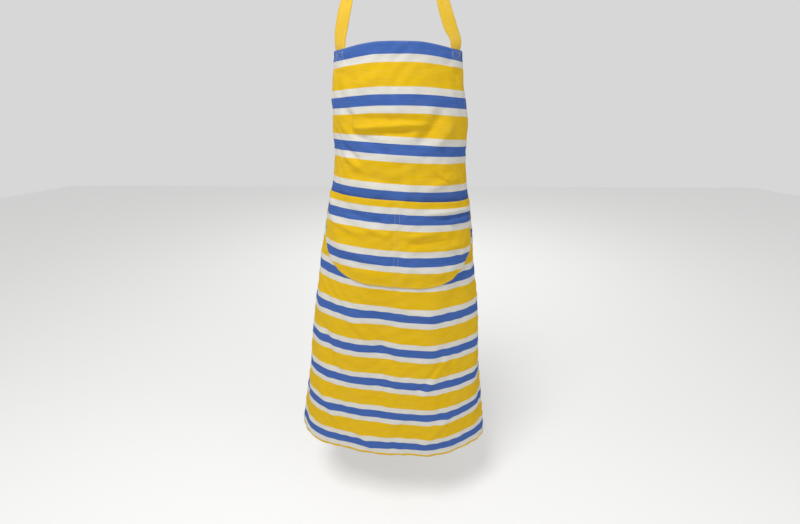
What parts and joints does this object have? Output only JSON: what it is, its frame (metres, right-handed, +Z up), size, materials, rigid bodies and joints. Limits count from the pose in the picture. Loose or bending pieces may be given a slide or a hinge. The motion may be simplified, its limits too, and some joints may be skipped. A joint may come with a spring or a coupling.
{
  "type": "bib apron",
  "caption": "Striped cotton bib apron as worn, with a wide patch pocket, adjustable neck loop and waist ties in a bow.",
  "frame": {"origin": "middle of the neck loop's inner face, where it rests on the nape of the wearer's neck", "axes": "+Z up, the front of the apron faces -Y, the wearer's left is +X"},
  "size_m": [0.5168, 0.2887, 1.189],
  "materials": {
    "cloth": "woven cotton in yellow, white and blue stripes",
    "tape": "lemon-yellow herringbone cotton tape",
    "buckle": "satin nickel-plated wire and stamping"
  },
  "bodies": {
    "neck_loop": {"neck_strap_long": "tape", "neck_strap_short": "tape", "strap_ring": "buckle"},
    "slider": {"strap_slider": "buckle", "slider_strap_fold": "tape"},
    "apron": {"main_panel": "cloth", "bib_top_hem": "cloth", "armhole_hem_left": "cloth", "armhole_hem_right": "cloth", "side_hem_left": "cloth", "side_hem_right": "cloth", "bottom_hem": "cloth", "pocket_panel": "cloth", "pocket_top_hem": "cloth", "strap_end_left": "tape", "strap_end_right": "tape", "tie_end_left": "tape", "tie_end_right": "tape"},
    "tie_left": {"tie_run_left": "tape", "bow_loop_left": "tape", "bow_knot": "tape"},
    "tie_right": {"tie_run_right": "tape", "bow_loop_right": "tape"},
    "tail_left": {"tie_tail_left": "tape"},
    "tail_right": {"tie_tail_right": "tape"}
  },
  "joints": [
    {"name": "slider_slide", "type": "slide", "parent": "neck_loop", "child": "slider", "axis": [0.2164, 0.5468, 0.8088], "range_m": [-0.018, 0.018]},
    {"name": "bib_swing", "type": "hinge", "parent": "neck_loop", "child": "apron", "pos_m": [0, -0.124, -0.209], "axis": [-1, 0, 0], "range_deg": [0, 75]},
    {"name": "tie_left_open", "type": "hinge", "parent": "apron", "child": "tie_left", "pos_m": [0.0938, 0.048, -0.521], "axis": [0, 0, -1], "range_deg": [0, 95]},
    {"name": "tie_right_open", "type": "hinge", "parent": "apron", "child": "tie_right", "pos_m": [-0.0938, 0.048, -0.521], "axis": [0, 0, 1], "range_deg": [0, 95]},
    {"name": "tail_left_swing", "type": "hinge", "parent": "tie_left", "child": "tail_left", "pos_m": [0.006, 0.08, -0.5355], "axis": [1, 0, 0], "range_deg": [0, 60]},
    {"name": "tail_right_swing", "type": "hinge", "parent": "tie_right", "child": "tail_right", "pos_m": [-0.006, 0.08, -0.5355], "axis": [1, 0, 0], "range_deg": [0, 60]}
  ]
}
